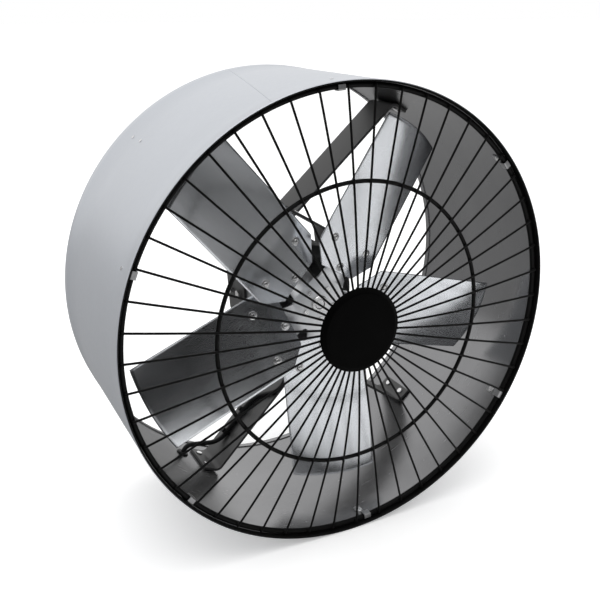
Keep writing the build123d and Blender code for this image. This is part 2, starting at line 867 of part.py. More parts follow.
def blade(number):
    """Sheet blade: flat where it is bolted, then gaining pitch and camber out to the tip arc."""
    angle = first_blade_angle + number * blade_step
    root_half = root_half_width / pitch_cos
    with BuildPart() as piece:
        with BuildSketch(blade_frame(angle, blade_pitch, blade_depth)):
            with BuildLine():
                Polyline(
                    (blade_root, -root_half),
                    (shoulder, -blade_half),
                    (flat_end, -blade_half),
                    (flat_end, blade_half),
                    (shoulder, blade_half),
                    (blade_root, root_half),
                    close=True,
                )
            make_face()
        extrude(amount=blade_sheet / 2, both=True)
        with BuildSketch(section_plane(angle, blade_pitch, flat_end, blade_depth)):
            Rectangle(2 * blade_half, blade_sheet)
        with BuildSketch(section_plane(angle, tip_pitch, tip_radius + tip_beyond, blade_depth - tip_advance)):
            with BuildLine():
                back = ThreePointArc(
                    (-blade_half, -blade_sheet / 2),
                    (0, tip_camber - blade_sheet / 2),
                    (blade_half, -blade_sheet / 2),
                )
                front = ThreePointArc(
                    (-blade_half, blade_sheet / 2),
                    (0, tip_camber + blade_sheet / 2),
                    (blade_half, blade_sheet / 2),
                )
                Line(back @ 0, front @ 0)
                Line(back @ 1, front @ 1)
            make_face()
        loft(ruled=True)
        with BuildSketch(face_plane(blade_depth + blade_half)):
            Circle(tip_radius)
        extrude(amount=2 * blade_half, mode=Mode.INTERSECT)
        blade_bolt_holes(angle)
    save(piece.part, "blade_" + str(number + 1))


def bolt_planes(lift):
    """Planes at every blade bolt, lifted off the middle of the blade sheet towards the front."""
    planes = []
    for number in range(blade_count):
        frame = blade_frame(first_blade_angle + number * blade_step, blade_pitch, blade_depth)
        for u, v in blade_bolt_points:
            centre = frame.from_local_coords((u, v, lift))
            planes.append(Plane(origin=centre, x_dir=frame.x_dir, z_dir=frame.z_dir))
    return planes


def blade_bolts():
    """Round head bolts through the blade roots and the spider arms, three to a blade."""
    grip = blade_sheet + arm_sheet + 2 * touch
    with BuildPart() as bolts:
        for plane in bolt_planes(blade_sheet / 2 + touch):
            with BuildSketch(plane):
                Circle(2 * blade_bolt_radius)
            extrude(amount=1.2 * blade_bolt_radius, taper=35)
            with BuildSketch(plane):
                Circle(blade_bolt_radius)
            extrude(amount=-(grip + 2.8 * blade_bolt_radius))
    save(bolts.part, "blade_bolts")


def blade_nuts():
    """Hex nuts behind the spider arms."""
    with BuildPart() as nuts:
        for plane in bolt_planes(-blade_sheet / 2 - arm_sheet - 3 * touch):
            with BuildSketch(plane):
                RegularPolygon(radius=1.85 * blade_bolt_radius, side_count=6)
                Circle(blade_bolt_radius + touch, mode=Mode.SUBTRACT)
            extrude(amount=-1.6 * blade_bolt_radius)
    save(nuts.part, "blade_nuts")


# Build everything
housing_shell()
guard_ring("guard_ring_outer", ring_radius, ring_wire_radius, ring_depth)
guard_ring("guard_ring_middle", mid_ring_radius, mid_ring_wire_radius, mid_ring_depth)
guard_spokes()
guard_cap()
guard_disc()
cap_screw()
guard_clips()
clip_rivets()
strap_rivets()
support_strap("left", "right", (strap_front_depth - 1, strap_mid_depth + slot_gap / 2))
support_strap("right", "left", (strap_mid_depth - slot_gap / 2, strap_rear_depth + 1))
strap_bolts()
motor_lead()
cable_ties()
cable_grommet()
motor_bell("motor_bell_front", motor_front_depth, shell_front)
motor_bell("motor_bell_rear", motor_rear_depth, shell_rear)
motor_shell()
stator_core()
stator_windings()
motor_tie_screws()
bearing("bearing_front", front_bearing_depth)
bearing("bearing_rear", rear_bearing_depth)
motor_shaft()
rotor_core()
hub_boss()
set_screw()
hub_rivets()
hub_spider()
for index in range(blade_count):
    blade(index)
blade_bolts()
blade_nuts()
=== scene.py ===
"""Industrial exhaust fan: sheet, wire and turned pieces on the packed frame, their finishes and a studio.

Points are worked out from a radius and an angle about the fan axis, which is Y, and a depth behind the
front rim. Angles turn from +X towards +Z, as seen from the front. Lengths are in metres.
"""

import math

import bmesh
import bpy
import numpy as np
from bpy.props import FloatProperty, FloatVectorProperty, IntProperty, PointerProperty
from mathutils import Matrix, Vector


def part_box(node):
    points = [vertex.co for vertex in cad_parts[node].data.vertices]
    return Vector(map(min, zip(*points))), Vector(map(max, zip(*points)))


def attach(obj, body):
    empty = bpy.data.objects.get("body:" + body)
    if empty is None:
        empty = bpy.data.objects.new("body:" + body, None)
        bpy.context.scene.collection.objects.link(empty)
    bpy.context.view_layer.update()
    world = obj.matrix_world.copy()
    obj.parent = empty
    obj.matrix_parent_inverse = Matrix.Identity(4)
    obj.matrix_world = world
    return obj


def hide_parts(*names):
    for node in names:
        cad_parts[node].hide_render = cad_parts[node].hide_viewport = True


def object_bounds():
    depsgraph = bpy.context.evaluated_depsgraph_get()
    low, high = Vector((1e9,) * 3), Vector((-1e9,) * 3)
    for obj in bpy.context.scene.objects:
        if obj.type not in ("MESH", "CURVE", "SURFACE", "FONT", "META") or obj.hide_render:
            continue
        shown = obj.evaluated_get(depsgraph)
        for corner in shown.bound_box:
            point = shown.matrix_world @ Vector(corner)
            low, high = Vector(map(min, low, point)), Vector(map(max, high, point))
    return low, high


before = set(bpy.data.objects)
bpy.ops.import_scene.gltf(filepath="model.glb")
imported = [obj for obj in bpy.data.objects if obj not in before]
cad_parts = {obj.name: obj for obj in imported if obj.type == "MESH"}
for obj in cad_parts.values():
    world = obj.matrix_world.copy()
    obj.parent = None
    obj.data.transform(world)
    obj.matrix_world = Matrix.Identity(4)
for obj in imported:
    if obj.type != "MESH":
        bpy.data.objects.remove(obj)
CAD_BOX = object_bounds()
FRONT_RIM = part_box("housing_shell")[0].y
REAR_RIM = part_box("housing_shell")[1].y
DRUM_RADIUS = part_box("housing_shell")[1].x
MOTOR_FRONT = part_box("motor_bell_front")[0].y - FRONT_RIM

bl_info = {
    "name": "Industrial Exhaust Fan",
    "version": (1, 0, 0),
    "blender": (4, 5, 0),
    "location": "3D View > Sidebar > Fan",
    "description": "Drum, wire guard, bladed rotor and hung motor of a round exhaust fan",
    "category": "Add Mesh",
}


# Settings
def length(name, description, default):
    """A length in metres."""
    return FloatProperty(
        name=name, description=description, default=default, unit="LENGTH", subtype="DISTANCE", precision=5
    )


def turn(name, description, degrees):
    """An angle, given in degrees and kept in radians."""
    return FloatProperty(
        name=name, description=description, default=math.radians(degrees), unit="ROTATION", subtype="ANGLE"
    )


def colour(name, description, value):
    """A linear colour."""
    return FloatVectorProperty(
        name=name, description=description, default=value, size=3, min=0, max=1, subtype="COLOR"
    )


def amount(name, description, default):
    """A share between nothing and all."""
    return FloatProperty(name=name, description=description, default=default, min=0, max=1, subtype="FACTOR")


class FanDrumSizes(bpy.types.PropertyGroup):
    """Sizes of the rolled drum."""

    radius: length("Radius", "Outside radius of the drum", DRUM_RADIUS)
    depth: length("Depth", "Length of the drum along the fan axis", REAR_RIM - FRONT_RIM)
    sheet: length("Sheet", "Thickness of the rolled sheet", 0.0012)
    hem: length("Hem", "Depth of the folded edge inside each rim", 0.008)
    bead: length("Bead step", "How far the wall lies below the bands at the rims", 0.00045)
    front_band: length("Front band", "Where the raised band at the front rim ends", 0.0026)
    front_slope: length("Front slope", "Width of the step behind the front band", 0.0014)
    rear_band: length("Rear band", "Width of the raised band at the rear rim", 0.015)
    rear_slope: length("Rear slope", "Width of the step before the rear band", 0.0012)
    lip_bevel: length("Lip bevel", "Bevel on the inner edge of a fold", 0.0003)
    seam_angle: turn("Seam angle", "Where the sheet laps over itself at the front rim", 111.3)
    seam_lean: turn("Seam lean", "How far the seam turns between the front rim and the rear rim", -11.6)
    seam_step: length("Seam step", "Height of the lapped edge", 0.00045)


class FanGuardSizes(bpy.types.PropertyGroup):
    """Sizes of the wire guard and its cap."""

    wires: IntProperty(name="Wires", description="Number of radial wires", default=50, min=3)
    first_wire: turn("First wire", "Angle of the first wire", 6.2)
    wire: length("Wire radius", "Radius of a radial wire", 0.0012)
    outer_ring: length("Outer ring radius", "Middle line of the outer ring", 0.2443)
    outer_ring_depth: length("Outer ring depth", "Depth of the outer ring behind the front rim", 0.008)
    outer_ring_wire: length("Outer ring wire", "Wire radius of the outer ring", 0.003)
    middle_ring: length("Middle ring radius", "Middle line of the middle ring", 0.153)
    middle_ring_depth: length("Middle ring depth", "Depth of the middle ring", -0.00085)
    middle_ring_wire: length("Middle ring wire", "Wire radius of the middle ring", 0.0022)
    wire_outer_depth: length("Wire end depth", "Depth of a wire at the outer ring", 0.00375)
    wire_middle_depth: length("Wire middle depth", "Depth of a wire at the middle ring", -0.0043)
    wire_inner_depth: length("Wire inner depth", "Depth of a wire under the cap", -0.0086)
    wire_inner: length("Wire inner radius", "Where a wire ends under the cap", 0.030)
    cap_radius: length("Cap radius", "Radius of the centre cap", 0.046)
    cap_front: length("Cap front", "Depth of the cap's face, which lies in front of the rim", -0.01485)
    cap_back: length("Cap back", "Depth of the cap's rear edge", -0.00985)
    cap_bevel: length("Cap bevel", "Width of the slope round the cap's face", 0.005)
    cap_sheet: length("Cap wall", "Wall of the moulded cap", 0.0015)
    stud: length("Stud radius", "Radius of the stud behind the cap's face", 0.0066)
    stud_back: length("Stud back", "Depth of the stud's end", -0.0068)


class FanRotorSizes(bpy.types.PropertyGroup):
    """Sizes of the blades and their bolts."""

    blades: IntProperty(name="Blades", description="Number of blades", default=5, min=2)
    first_blade: turn("First blade", "Angle of the first blade", 59.1)
    pitch: turn("Root pitch", "Pitch of a blade where it is bolted", 14.8)
    tip_pitch: turn("Tip pitch", "Pitch of a blade beyond its tip arc", 18.3)
    depth: length("Blade depth", "Depth of the blades' middle plane", 0.077)
    root: length("Blade root", "Where a blade starts, from the fan axis", 0.0404)
    shoulder: length("Shoulder", "Where a blade gets its full width", 0.0625)
    flat_end: length("Flat end", "Where a blade starts to gain pitch and camber", 0.092)
    half_width: length("Half width", "Half the width of a blade, seen from the front", 0.0475)
    root_half_width: length("Root half width", "Half the width of a blade's inner end", 0.0265)
    tip: length("Tip radius", "Radius of the blade tips", 0.221)
    tip_beyond: length("Tip section", "Distance from the tip arc to the section that sets its form", 0.006)
    camber: length("Camber", "Rise of the tip section towards the front", 0.004)
    advance: length("Advance", "How far the tip section lies in front of the root", 0.003)
    sheet: length("Blade sheet", "Thickness of a blade", 0.0015)
    edge: length("Blade edge", "Width of the rounding along a blade's edges", 0.0006)
    inner_bolt: length("Inner bolt", "Distance of the inner bolt from the fan axis", 0.0473)
    outer_bolt: length("Outer bolts", "Distance of the two outer bolts from the fan axis", 0.0738)
    outer_bolt_across: length("Outer bolts across", "How far they stand off the blade's line", 0.0295)
    bolt: length("Bolt radius", "Radius of a bolt's shank", 0.0025)
    bolt_reach: length("Bolt reach", "Length of a bolt behind the blade's front face", 0.0116)


class FanMotorSizes(bpy.types.PropertyGroup):
    """Sizes of the motor's body."""

    radius: length("Motor radius", "Outside radius of the motor", 0.060)
    front: length("Motor front", "Depth of the motor's front face", MOTOR_FRONT)
    depth: length("Motor length", "Length of the motor", 0.112)
    bell: length("End cover", "Length of each end cover", 0.018)
    wall: length("Motor wall", "Wall of the motor's body and covers", 0.004)
    bearing_seat: length("Bearing seat", "Radius of the bearing seat", 0.014)
    bearing_cover: length("Seat cover", "Wall in front of the bearing", 0.003)
    bearing: length("Bearing", "Width of the bearing", 0.009)
    shaft_hole: length("Shaft hole", "Radius of the hole for the shaft", 0.0075)
    shoulder: length("Shoulder", "Width of the slope round each end cover's face", 0.012)
    groove: length("Groove", "Depth of the two grooves at each end of the body", 0.0007)
    groove_width: length("Groove width", "Half the width of a groove", 0.0006)


class FanFinishes(bpy.types.PropertyGroup):
    """Colours of the finishes."""

    drum_outside: colour("Drum outside", "Pale coated sheet", (0.50, 0.52, 0.555))
    drum_inside: colour("Drum inside", "Plain sheet inside the drum", (0.27, 0.27, 0.275))
    blade: colour("Blades", "Rolled bright sheet", (0.74, 0.76, 0.79))
    spider: colour("Spider", "Pressed bright plate", (0.66, 0.67, 0.69))
    # The guard's black is also laid on the drum's front fold as painted shade inside the rim.
    guard: colour("Guard", "Black coated wire", (0.005, 0.005, 0.005))
    cap: colour("Cap", "Black moulded plastic", (0.002, 0.002, 0.002))
    bright: colour("Bright parts", "Plated clips, rivets and screws", (0.72, 0.72, 0.72))
    clip: colour("Clips", "Grey plated strip", (0.34, 0.34, 0.345))
    # Strap steel's own grey, darkened further as painted shade for the straps' shaded run to the wall.
    strap: colour("Straps", "Rolled strap steel", (0.21, 0.205, 0.205))
    motor_cover: colour("Motor covers", "Black paint", (0.02, 0.02, 0.021))
    motor_body: colour("Motor body", "Grey cast body", (0.42, 0.43, 0.44))
    core: colour("Cores", "Stacked core plates", (0.20, 0.19, 0.18))
    copper: colour("Windings", "Varnished copper wire", (0.55, 0.22, 0.10))
    bearing: colour("Bearings", "Ground bearing steel", (0.62, 0.62, 0.63))
    rubber: colour("Rubber", "Black cable jacket", (0.016, 0.016, 0.017))
    dark: colour("Dark screws", "Blackened screws", (0.05, 0.05, 0.052))


class FanStudio(bpy.types.PropertyGroup):
    """Camera, floor and light."""

    eye: FloatVectorProperty(
        name="Camera", description="Place of the camera", default=(-0.4038, -0.7935, 0.3128),
        size=3, subtype="TRANSLATION", unit="LENGTH",
    )
    look: FloatVectorProperty(
        name="Looks along", description="Direction of the camera", default=(0.4214, 0.8415, -0.3381),
        size=3, subtype="DIRECTION",
    )
    lens: FloatProperty(name="Lens", description="Focal length in millimetres", default=48.86, min=10)
    floor: colour("Floor", "Plain white floor", (0.93, 0.93, 0.93))
    bounce: amount("Bounce", "How much light the floor gives back to the drum", 0.36)
    apron: amount("Apron", "How much light the floor in front of the blades gives back", 0.95)
    lift: amount("Floor lift", "Light added to the floor as the camera sees it", 0.30)
    sky: amount("Room light", "Brightness of the room behind and above", 1.0)
    front: amount("Front light", "Brightness of the dark side that the camera stands in", 0.02)
    overhead: FloatProperty(
        name="Overhead light", description="Power of the soft box above", default=32.0, min=0, unit="POWER"
    )
    side: FloatProperty(
        name="Side light", description="Power of the soft box to the left", default=5.0, min=0, unit="POWER"
    )


GROUPS = {
    "fan_drum": FanDrumSizes,
    "fan_guard": FanGuardSizes,
    "fan_rotor": FanRotorSizes,
    "fan_motor": FanMotorSizes,
    "fan_finish": FanFinishes,
    "fan_studio": FanStudio,
}


# Finishes
MICRON = 0.000001


def even(scale):
    """The same noise scale on each axis."""
    return (scale, scale, scale)


def new_finish(name):
    """An empty finish with its shader and output, or None where it is there already."""
    if bpy.data.materials.get(name):
        return None
    finish = bpy.data.materials.new(name)
    finish.use_nodes = True
    tree = finish.node_tree
    tree.nodes.clear()
    output = tree.nodes.new("ShaderNodeOutputMaterial")
    shader = tree.nodes.new("ShaderNodeBsdfPrincipled")
    tree.links.new(shader.outputs["BSDF"], output.inputs["Surface"])
    return finish, tree, shader


def noise(tree, source, stretch, detail=4.0, roughness=0.55):
    """Noise on a source vector, stretched by its own scale on each axis."""
    mapping = tree.nodes.new("ShaderNodeMapping")
    mapping.inputs["Scale"].default_value = stretch
    tree.links.new(source, mapping.inputs["Vector"])
    texture = tree.nodes.new("ShaderNodeTexNoise")
    texture.inputs["Scale"].default_value = 1.0
    texture.inputs["Detail"].default_value = detail
    texture.inputs["Roughness"].default_value = roughness
    tree.links.new(mapping.outputs["Vector"], texture.inputs["Vector"])
    return texture.outputs["Fac"]


def span(tree, source, low, high, floor=0.25, ceiling=0.75):
    """A noise value carried from its usual range to a new one."""
    node = tree.nodes.new("ShaderNodeMapRange")
    node.inputs["From Min"].default_value = floor
    node.inputs["From Max"].default_value = ceiling
    node.inputs["To Min"].default_value = low
    node.inputs["To Max"].default_value = high
    tree.links.new(source, node.inputs["Value"])
    return node.outputs["Result"]


def tint(tree, source, shader, dark, light):
    """Base colour that moves between two tones with a noise value."""
    ramp = tree.nodes.new("ShaderNodeValToRGB")
    ramp.color_ramp.elements[0].position = 0.3
    ramp.color_ramp.elements[1].position = 0.7
    ramp.color_ramp.elements[0].color = (*dark, 1.0)
    ramp.color_ramp.elements[1].color = (*light, 1.0)
    tree.links.new(source, ramp.inputs["Fac"])
    tree.links.new(ramp.outputs["Color"], shader.inputs["Base Color"])


def relief(tree, source, shader, height):
    """Fine relief of this height from a noise value."""
    node = tree.nodes.new("ShaderNodeBump")
    node.inputs["Strength"].default_value = 1.0
    node.inputs["Distance"].default_value = height
    tree.links.new(source, node.inputs["Height"])
    tree.links.new(node.outputs["Normal"], shader.inputs["Normal"])


def worked(name, tone, metallic, gloss, stretch, fine, height, variation=0.08, sheen=0.5, attribute=None):
    """A worked surface: slow noise moves the colour, and finer noise the gloss and the relief.

    The noise reads object coordinates, or the sheet's own length and width where the piece has them. Gloss
    is the range of the roughness, and sheen is the strength of the plain shine on a surface that isn't metal.
    """
    made = new_finish(name)
    if made is None:
        return bpy.data.materials[name]
    finish, tree, shader = made
    if attribute:
        place = tree.nodes.new("ShaderNodeAttribute")
        place.attribute_name = attribute
        source = place.outputs["Vector"]
    else:
        place = tree.nodes.new("ShaderNodeTexCoord")
        source = place.outputs["Object"]
    shader.inputs["Metallic"].default_value = metallic
    shader.inputs["Specular IOR Level"].default_value = sheen
    tone = np.array(tone)
    dark, light = tone * (1 - variation), np.minimum(tone * (1 + variation), 1)
    tint(tree, noise(tree, source, stretch), shader, dark, light)
    close = noise(tree, source, fine, 3.0)
    tree.links.new(span(tree, close, *gloss), shader.inputs["Roughness"])
    relief(tree, close, shader, height)
    return finish


def finishes():
    """Every finish of the fan by name, made once from the colours in the panel."""
    c = bpy.context.scene.fan_finish
    return {
        "drum_outside": worked(
            "coated_sheet", c.drum_outside, metallic=0.35, gloss=(0.36, 0.42),
            stretch=(5, 9, 5), fine=even(160), height=4 * MICRON, variation=0.02,
        ),
        "drum_inside": worked(
            "plain_sheet", c.drum_inside, metallic=1.0, gloss=(0.22, 0.28),
            stretch=(8, 20, 8), fine=(40, 300, 40), height=MICRON, variation=0.05,
        ),
        "blade": worked(
            "rolled_bright_sheet", c.blade, metallic=1.0, gloss=(0.19, 0.25),
            stretch=(14, 30, 1), fine=(60, 900, 1), height=MICRON, variation=0.03, attribute="sheet",
        ),
        "spider": worked(
            "pressed_plate", c.spider, metallic=1.0, gloss=(0.26, 0.36),
            stretch=even(30), fine=even(500), height=5 * MICRON, variation=0.07,
        ),
        # Also used on the drum's front fold as painted shade inside the rim.
        "guard": worked(
            "black_wire_coat", c.guard, metallic=0.0, gloss=(0.36, 0.48),
            stretch=even(40), fine=even(700), height=6 * MICRON, variation=0.25, sheen=0.10,
        ),
        "cap": worked(
            "black_moulding", c.cap, metallic=0.0, gloss=(0.30, 0.38),
            stretch=even(30), fine=even(1800), height=3 * MICRON, variation=0.2, sheen=0.02,
        ),
        "bright": worked(
            "bright_plating", c.bright, metallic=1.0, gloss=(0.18, 0.30),
            stretch=even(90), fine=even(900), height=6 * MICRON, variation=0.12,
        ),
        "clip": worked(
            "grey_plating", c.clip, metallic=1.0, gloss=(0.26, 0.38),
            stretch=even(90), fine=even(900), height=6 * MICRON, variation=0.12,
        ),
        # The strap tone is partly the steel's own grey and partly darkened as painted shade.
        "strap": worked(
            "strap_steel", c.strap, metallic=0.9, gloss=(0.36, 0.48),
            stretch=even(20), fine=(400, 60, 400), height=10 * MICRON, variation=0.10,
        ),
        "motor_cover": worked(
            "motor_black_paint", c.motor_cover, metallic=0.0, gloss=(0.35, 0.5),
            stretch=even(30), fine=even(700), height=20 * MICRON, variation=0.2,
        ),
        "motor_body": worked(
            "motor_cast_body", c.motor_body, metallic=0.7, gloss=(0.40, 0.55),
            stretch=even(25), fine=even(800), height=30 * MICRON, variation=0.08,
        ),
        "core": worked(
            "stacked_core_plates", c.core, metallic=0.9, gloss=(0.35, 0.55),
            stretch=(10, 900, 10), fine=(40, 2000, 40), height=80 * MICRON, variation=0.35,
        ),
        "copper": worked(
            "varnished_windings", c.copper, metallic=0.8, gloss=(0.25, 0.45),
            stretch=(60, 900, 60), fine=(60, 1600, 60), height=200 * MICRON, variation=0.3,
        ),
        "bearing": worked(
            "ground_bearing_steel", c.bearing, metallic=1.0, gloss=(0.12, 0.22),
            stretch=even(60), fine=(400, 1500, 400), height=4 * MICRON, variation=0.06,
        ),
        "rubber": worked(
            "black_cable_rubber", c.rubber, metallic=0.0, gloss=(0.42, 0.58),
            stretch=even(50), fine=even(900), height=20 * MICRON, variation=0.2, sheen=0.3,
        ),
        "dark": worked(
            "blackened_screws", c.dark, metallic=0.7, gloss=(0.28, 0.42),
            stretch=even(80), fine=even(900), height=10 * MICRON, variation=0.2,
        ),
    }


# Mesh helpers
def about_axis(radius, depth, angle):
    """Points at a radius and an angle about the fan axis, and a depth behind the front rim."""
    x, y, z = radius * np.cos(angle), FRONT_RIM + depth, radius * np.sin(angle)
    return np.stack(np.broadcast_arrays(x, y, z), -1)


def turning(angle):
    """The direction in which an angle about the fan axis grows."""
    return np.stack([-np.sin(angle), np.zeros_like(angle), np.cos(angle)], -1)


def grid_faces(rows, columns, wrap_rows=False, wrap_columns=True):
    """Four-sided faces of a grid: each joins a point to its next neighbours along both directions."""
    down, over = rows - (not wrap_rows), columns - (not wrap_columns)
    i, j = np.meshgrid(np.arange(down), np.arange(over), indexing="ij")
    n, m = (i + 1) % rows, (j + 1) % columns
    return np.stack([i * columns + j, n * columns + j, n * columns + m, i * columns + m], -1).reshape(-1, 4)


def copied_faces(faces, points, copies):
    """The same faces for each of a number of copies of the points, one after another."""
    return (faces[None] + (np.arange(copies) * points)[:, None, None]).reshape(-1, 4)


def closed_mesh(name, points, faces, sheet=None, slots=None, sharp=40.0):
    """A closed piece from whole arrays. Points that fall together are merged, which closes seams and poles.

    Its volume is the sum of the signed corner volumes of its faces; where that is negative, the faces
    look inwards and are turned round.
    """
    points = points.reshape(-1, 3)
    a, b, c, d = (points[faces[:, k]] for k in range(4))
    if (a * (np.cross(b, c) + np.cross(c, d))).sum() < 0:
        faces = faces[:, ::-1]
    mesh = bpy.data.meshes.new(name)
    mesh.from_pydata(points.tolist(), [], faces.tolist())
    if sheet is not None:
        store = mesh.attributes.new("sheet", "FLOAT_VECTOR", "POINT")
        store.data.foreach_set("vector", np.ascontiguousarray(sheet, dtype=np.float32).ravel())
    if slots is not None:
        mesh.polygons.foreach_set("material_index", np.ascontiguousarray(slots, dtype=np.int32))
    work = bmesh.new()
    work.from_mesh(mesh)
    bmesh.ops.remove_doubles(work, verts=work.verts, dist=1e-7)
    bmesh.ops.dissolve_degenerate(work, edges=work.edges, dist=1e-8)
    work.to_mesh(mesh)
    work.free()
    mesh.shade_smooth()
    mesh.set_sharp_from_angle(angle=math.radians(sharp))
    obj = bpy.data.objects.new(name, mesh)
    bpy.context.scene.collection.objects.link(obj)
    return obj


def dress(obj, body, nodes, slot, *looks):
    """Gives a piece its finishes, and has it ride on a body and stand for its CAD nodes."""
    for look in looks:
        obj.data.materials.append(look)
    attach(obj, body)
    if nodes:
        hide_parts(*nodes)
    return obj


def softened(corners, reach, steps=5, closed=True):
    """A profile whose corners are swapped for short parabolas that start and end this far from each corner.

    Each parabola is the blend of its two tangent points and the corner with weights (1-t)^2, t^2 and 2t(1-t).
    """
    p = np.asarray(corners, float)
    before, after = np.roll(p, 1, 0) - p, np.roll(p, -1, 0) - p
    sizes = np.linalg.norm(before, axis=1), np.linalg.norm(after, axis=1)
    reach = np.broadcast_to(reach, len(p))
    start = p + before * (np.minimum(reach, 0.45 * sizes[0]) / sizes[0])[:, None]
    end = p + after * (np.minimum(reach, 0.45 * sizes[1]) / sizes[1])[:, None]
    t = np.linspace(0, 1, steps)[None, :, None]
    early, middle, late = (1 - t) ** 2, 2 * t * (1 - t), t**2
    curve = (early * start[:, None] + middle * p[:, None] + late * end[:, None]).reshape(-1, 2)
    if closed:
        return curve
    return np.concatenate([p[:1], curve[steps:-steps], p[-1:]])


def turned_piece(name, profile, segments=192, **rest):
    """A profile of radius and depth turned about the fan axis."""
    angle = np.linspace(0, 2 * math.pi, segments, endpoint=False)[:, None]
    points = about_axis(profile[None, :, 0], profile[None, :, 1], angle)
    return closed_mesh(name, points, grid_faces(segments, len(profile), wrap_rows=True), **rest)


def wire_ring(name, radius, depth, wire, segments=360, around=20):
    """A ring: a circle of the wire's radius, carried round the fan axis."""
    t = np.linspace(0, 2 * math.pi, around, endpoint=False)
    profile = np.stack([radius + wire * np.cos(t), depth + wire * np.sin(t)], -1)
    return turned_piece(name, profile, segments)


def arc_through(a, b, c, count):
    """Points on the circle through three points, from the first to the last.

    The centre is where the lines that halve both chords at right angles meet.
    """
    a, b, c = (np.asarray(p, float) for p in (a, b, c))
    system = np.stack([b - a, c - a])
    centre = np.linalg.solve(system, ((system * (np.stack([a + b, a + c]) / 2)).sum(1)))
    radius = np.linalg.norm(a - centre)
    ends = np.arctan2(*(np.stack([a, c]) - centre).T[::-1])
    sweep = (ends[1] - ends[0] + math.pi) % (2 * math.pi) - math.pi
    angle = ends[0] + np.linspace(0, 1, count) * sweep
    return centre + radius * np.stack([np.cos(angle), np.sin(angle)], -1)


# Drum
def drum_profile(drum):
    """Section of the drum as a closed loop: outer wall, rear fold, inner wall, front fold.

    Returns radius and depth of each point, how much of the seam's step it takes, and its stretch: 0 outside,
    1 inside, 2 for the lip and the inner half of the front fold, which take the guard's black coat as painted
    shade inside the rim. Both folds are half circles as wide as two sheets.
    """
    outer, inner, hem_face = drum.radius, drum.radius - drum.sheet, drum.radius - 2 * drum.sheet
    low, rear, bend, bevel = drum.radius - drum.bead, drum.depth, drum.sheet, drum.lip_bevel
    t = np.linspace(0, math.pi, 9)[1:-1]
    fold = np.stack([inner + bend * np.cos(t), bend - bend * np.sin(t)], -1)
    wall = np.array([
        (outer, bend), (outer, drum.front_band), (low, drum.front_band + drum.front_slope),
        (low, 0.03), (low, 0.075), (low, 0.12), (low, 0.165), (low, rear - drum.rear_band - drum.rear_slope),
        (outer, rear - drum.rear_band), (outer, rear - drum.rear_band / 3), (outer, rear - bend),
    ])
    takes = np.array([0, 0.3, 1, 1, 1, 1, 1, 1, 0.7, 0.6, 0])
    lip = np.array([
        (hem_face, bend), (hem_face, drum.hem - bevel),
        (hem_face + bevel, drum.hem), (inner, drum.hem + bevel / 3),
    ])
    back = fold * (1, -1) + (0, rear)
    rear_lip = lip * (1, -1) + (0, rear)
    clear = drum.hem + 10 * bevel
    face = np.stack([np.full(7, inner), np.linspace(rear - clear, clear, 7)], -1)
    loop = np.concatenate([wall, back, rear_lip, face, lip[::-1], fold[::-1]])
    step = np.concatenate([takes, np.zeros(len(loop) - len(takes))])
    stretch = np.zeros(len(loop), int)
    stretch[len(wall) + len(back) - 1:] = 1
    # The lip and the inner half of the front fold take the guard's black coat: painted shade inside the rim.
    stretch[-len(fold) - len(lip):] = 2
    stretch[-(len(fold) // 2):] = 0
    return loop, step, stretch


class FAN_OT_drum(bpy.types.Operator):
    """Rolled drum with folded rims, a raised band at the rear, and one lapped seam along its length"""

    bl_idname = "fan.drum"
    bl_label = "Drum"

    def execute(self, context):
        """The section goes round the axis. Past the seam the wall drops by a step that fades exponentially.

        A ridge as narrow as exp(-(turn / ridge)^2) marks the edge. The seam leans, so its angle changes in
        proportion to the depth.
        """
        drum = context.scene.fan_drum
        loop, step, stretch = drum_profile(drum)
        fade, ridge, full = math.radians(14.0), math.radians(0.1), 2 * math.pi
        coarse = np.linspace(0, full, 384, endpoint=False)
        close = np.radians([-0.5, -0.2, -0.06, 0.0, 0.06, 0.3, 0.7, 1.2])
        coarse = coarse[(coarse > 0.03) & (coarse < full - 0.015)]
        past = np.sort(np.concatenate([coarse, close % full]))
        either_side = (past + math.pi) % full - math.pi
        drop = drum.seam_step * np.exp(-past / fade) * (past > 1e-4)
        drop += 0.35 * drum.seam_step * np.exp(-((either_side / ridge) ** 2))
        radius = loop[None, :, 0] - step[None] * drop[:, None]
        lean = drum.seam_lean * loop[None, :, 1] / drum.depth
        points = about_axis(radius, loop[None, :, 1], (past + drum.seam_angle)[:, None] + lean)
        faces = grid_faces(len(past), len(loop), wrap_rows=True)
        slots = np.broadcast_to(stretch, (len(past), len(loop))).ravel()
        looks = finishes()
        obj = closed_mesh("drum", points, faces, slots=slots, sharp=30.0)
        # The third finish, the guard's black coat, paints shade on the front fold's lip and inner half.
        sheet_looks_with_painted_fold_shade = (looks["drum_outside"], looks["drum_inside"], looks["guard"])
        dress(obj, "frame", ["housing_shell"], "drum_sheet", *sheet_looks_with_painted_fold_shade)
        return {"FINISHED"}


# Wire guard
def guard_arc(guard, count):
    """Radius and depth along one radial wire, from the outer ring to under the cap."""
    return arc_through(
        (guard.outer_ring, guard.wire_outer_depth),
        (guard.middle_ring, guard.wire_middle_depth),
        (guard.wire_inner, guard.wire_inner_depth),
        count,
    )


